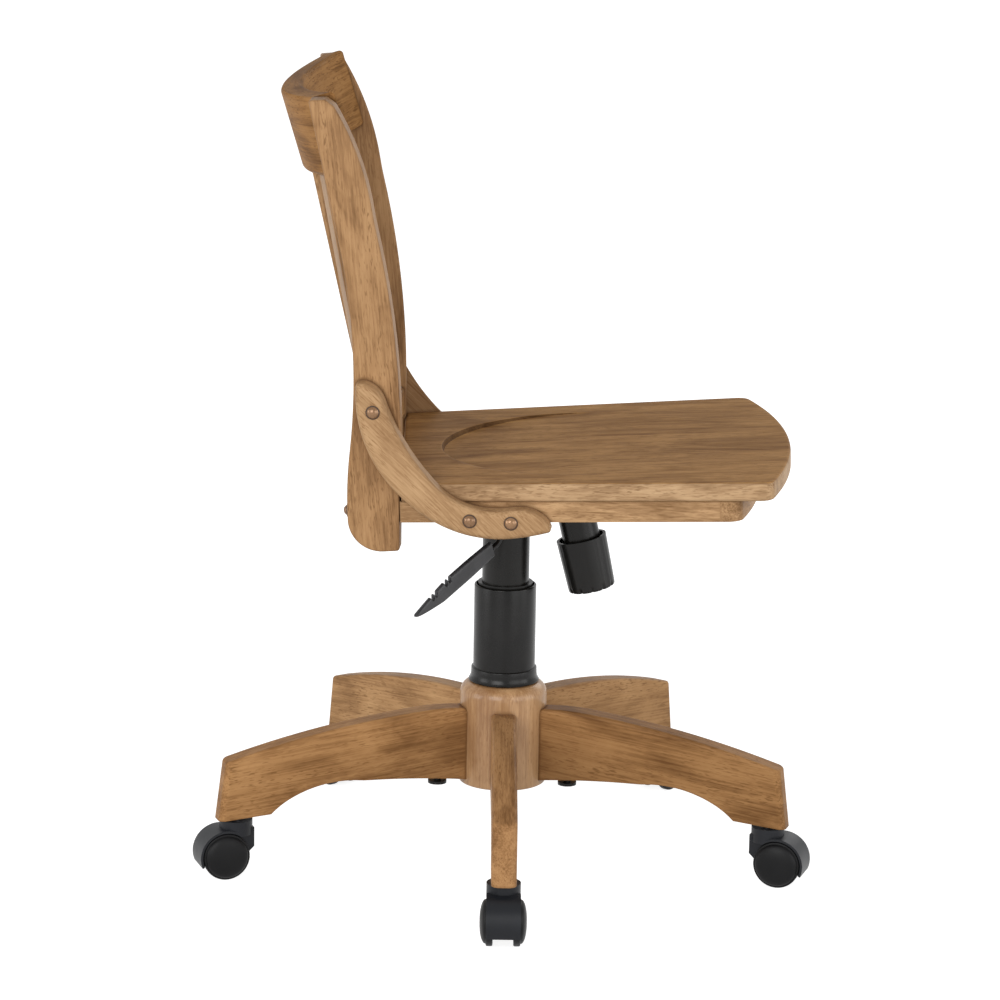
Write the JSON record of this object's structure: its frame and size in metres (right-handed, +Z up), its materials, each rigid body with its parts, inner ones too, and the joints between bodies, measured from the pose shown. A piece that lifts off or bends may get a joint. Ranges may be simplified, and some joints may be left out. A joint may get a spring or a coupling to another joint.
{
  "type": "swivel chair",
  "caption": "Armless wooden swivel-tilt desk chair with slatted back, dished seat, gas lift and star base on twin-wheel casters.",
  "frame": {"origin": "on the column axis at the floor", "axes": "+X towards the sitter's front, +Y to the sitter's left, +Z up"},
  "size_m": [0.6538, 0.6217, 0.8436],
  "materials": {
    "wood_seat": "satin lacquer",
    "wood_frame": "satin lacquer",
    "black_steel": "semi-gloss black",
    "bright_steel": "zinc plated",
    "spring_steel": "oiled",
    "bronze_bolt": "antique bronze",
    "black_plastic": "satin black",
    "wheel_plastic": "satin black"
  },
  "bodies": {
    "base": {"hub": "wood_frame", "leg_1": "wood_frame", "leg_2": "wood_frame", "leg_3": "wood_frame", "leg_4": "wood_frame", "leg_5": "wood_frame", "caster_sockets": "bright_steel", "leg_fixings": "bright_steel", "gas_lift_tube": "black_steel", "column_cover_lower": "black_plastic", "column_cover_middle": "black_plastic"},
    "swivel_rod": {"gas_rod": "bright_steel"},
    "lift": {"gas_cylinder": "bright_steel", "tilt_housing": "black_steel", "mechanism_pins": "bright_steel", "tilt_spring": "spring_steel"},
    "seat": {"seat_plate": "black_steel", "seat_panel": "wood_seat", "apron_front": "wood_frame", "apron_rear": "wood_frame", "apron_left": "wood_frame", "apron_right": "wood_frame", "bracket_left": "wood_frame", "bracket_right": "wood_frame", "post_left": "wood_frame", "post_right": "wood_frame", "crest_rail": "wood_frame", "lower_rail": "wood_frame", "slat_1": "wood_frame", "slat_2": "wood_frame", "slat_3": "wood_frame", "slat_4": "wood_frame", "frame_bolts": "bronze_bolt", "seat_screws": "bright_steel"},
    "tension_rod": {"tension_bolt": "bright_steel"},
    "tension_nut": {"tension_washer": "bright_steel"},
    "knob": {"tension_knob": "black_plastic"},
    "lever": {"lever_rod": "black_steel", "lever_handle": "black_plastic"},
    "button": {"valve_button": "bright_steel"},
    "caster_1": {"fork_1": "black_plastic", "pins_1": "bright_steel"},
    "wheel_left_1": {"wheel_left_1": "wheel_plastic"},
    "wheel_right_1": {"wheel_right_1": "wheel_plastic"},
    "caster_2": {"fork_2": "black_plastic", "pins_2": "bright_steel"},
    "wheel_left_2": {"wheel_left_2": "wheel_plastic"},
    "wheel_right_2": {"wheel_right_2": "wheel_plastic"},
    "caster_3": {"fork_3": "black_plastic", "pins_3": "bright_steel"},
    "wheel_left_3": {"wheel_left_3": "wheel_plastic"},
    "wheel_right_3": {"wheel_right_3": "wheel_plastic"},
    "caster_4": {"fork_4": "black_plastic", "pins_4": "bright_steel"},
    "wheel_left_4": {"wheel_left_4": "wheel_plastic"},
    "wheel_right_4": {"wheel_right_4": "wheel_plastic"},
    "caster_5": {"fork_5": "black_plastic", "pins_5": "bright_steel"},
    "wheel_left_5": {"wheel_left_5": "wheel_plastic"},
    "wheel_right_5": {"wheel_right_5": "wheel_plastic"}
  },
  "joints": [
    {"name": "seat_swivel", "type": "hinge", "parent": "base", "child": "swivel_rod", "pos_m": [0, 0, 0.1], "axis": [0, 0, 1], "continuous": true},
    {"name": "height_lift", "type": "slide", "parent": "swivel_rod", "child": "lift", "axis": [0, 0, 1], "range_m": [0, 0.1]},
    {"name": "seat_tilt", "type": "hinge", "parent": "lift", "child": "seat", "pos_m": [-0.03, 0, 0.403], "axis": [0, -1, 0], "range_deg": [0, 10], "stiffness_Nm_per_rad": 120, "springref_deg": -5.73},
    {"name": "tension_rise", "type": "slide", "parent": "lift", "child": "tension_rod", "axis": [-0.2267, 0, 0.974], "range_m": [0, 0.0166], "deforming": ["tilt_spring"]},
    {"name": "tension_adjust", "type": "slide", "parent": "tension_rod", "child": "tension_nut", "axis": [-0.2267, 0, 0.974], "range_m": [-0.0016, 0.0016]},
    {"name": "knob_turn", "type": "hinge", "parent": "tension_nut", "child": "knob", "pos_m": [0.0922, 0, 0.2958], "axis": [-0.2267, 0, 0.974], "range_deg": [-360, 360]},
    {"name": "lever_lift", "type": "hinge", "parent": "lift", "child": "lever", "pos_m": [0, -0.028, 0.4187], "axis": [-1, 0, 0], "range_deg": [0, 4.6]},
    {"name": "button_press", "type": "slide", "parent": "lift", "child": "button", "axis": [0, 0, -1], "range_m": [0, 0.0025], "stiffness_N_per_m": 300, "springref_m": -0.001},
    {"name": "caster_swivel_1", "type": "hinge", "parent": "base", "child": "caster_1", "pos_m": [0, -0.2955, 0.06], "axis": [0, 0, 1], "continuous": true},
    {"name": "wheel_roll_left_1", "type": "hinge", "parent": "caster_1", "child": "wheel_left_1", "pos_m": [0, -0.3095, 0.025], "axis": [1, 0, 0], "continuous": true},
    {"name": "wheel_roll_right_1", "type": "hinge", "parent": "caster_1", "child": "wheel_right_1", "pos_m": [0, -0.3095, 0.025], "axis": [1, 0, 0], "continuous": true},
    {"name": "caster_swivel_2", "type": "hinge", "parent": "base", "child": "caster_2", "pos_m": [0.28104, -0.09131, 0.06], "axis": [0, 0, 1], "continuous": true},
    {"name": "wheel_roll_left_2", "type": "hinge", "parent": "caster_2", "child": "wheel_left_2", "pos_m": [0.29435, -0.09564, 0.025], "axis": [0.309, 0.9511, 0], "continuous": true},
    {"name": "wheel_roll_right_2", "type": "hinge", "parent": "caster_2", "child": "wheel_right_2", "pos_m": [0.29435, -0.09564, 0.025], "axis": [0.309, 0.9511, 0], "continuous": true},
    {"name": "caster_swivel_3", "type": "hinge", "parent": "base", "child": "caster_3", "pos_m": [0.17369, 0.23906, 0.06], "axis": [0, 0, 1], "continuous": true},
    {"name": "wheel_roll_left_3", "type": "hinge", "parent": "caster_3", "child": "wheel_left_3", "pos_m": [0.18192, 0.25039, 0.025], "axis": [-0.809, 0.5878, 0], "continuous": true},
    {"name": "wheel_roll_right_3", "type": "hinge", "parent": "caster_3", "child": "wheel_right_3", "pos_m": [0.18192, 0.25039, 0.025], "axis": [-0.809, 0.5878, 0], "continuous": true},
    {"name": "caster_swivel_4", "type": "hinge", "parent": "base", "child": "caster_4", "pos_m": [-0.17369, 0.23906, 0.06], "axis": [0, 0, 1], "continuous": true},
    {"name": "wheel_roll_left_4", "type": "hinge", "parent": "caster_4", "child": "wheel_left_4", "pos_m": [-0.18192, 0.25039, 0.025], "axis": [-0.809, -0.5878, 0], "continuous": true},
    {"name": "wheel_roll_right_4", "type": "hinge", "parent": "caster_4", "child": "wheel_right_4", "pos_m": [-0.18192, 0.25039, 0.025], "axis": [-0.809, -0.5878, 0], "continuous": true},
    {"name": "caster_swivel_5", "type": "hinge", "parent": "base", "child": "caster_5", "pos_m": [-0.28104, -0.09131, 0.06], "axis": [0, 0, 1], "continuous": true},
    {"name": "wheel_roll_left_5", "type": "hinge", "parent": "caster_5", "child": "wheel_left_5", "pos_m": [-0.29435, -0.09564, 0.025], "axis": [0.309, -0.9511, 0], "continuous": true},
    {"name": "wheel_roll_right_5", "type": "hinge", "parent": "caster_5", "child": "wheel_right_5", "pos_m": [-0.29435, -0.09564, 0.025], "axis": [0.309, -0.9511, 0], "continuous": true}
  ],
  "couplings": [
    {"joint": "tension_rise", "follows": "seat_tilt", "m_per_rad": 0.094},
    {"joint": "tension_adjust", "follows": "knob_turn", "m_per_rad": 0.00023873},
    {"joint": "button_press", "follows": "lever_lift", "m_per_rad": 0.03}
  ]
}
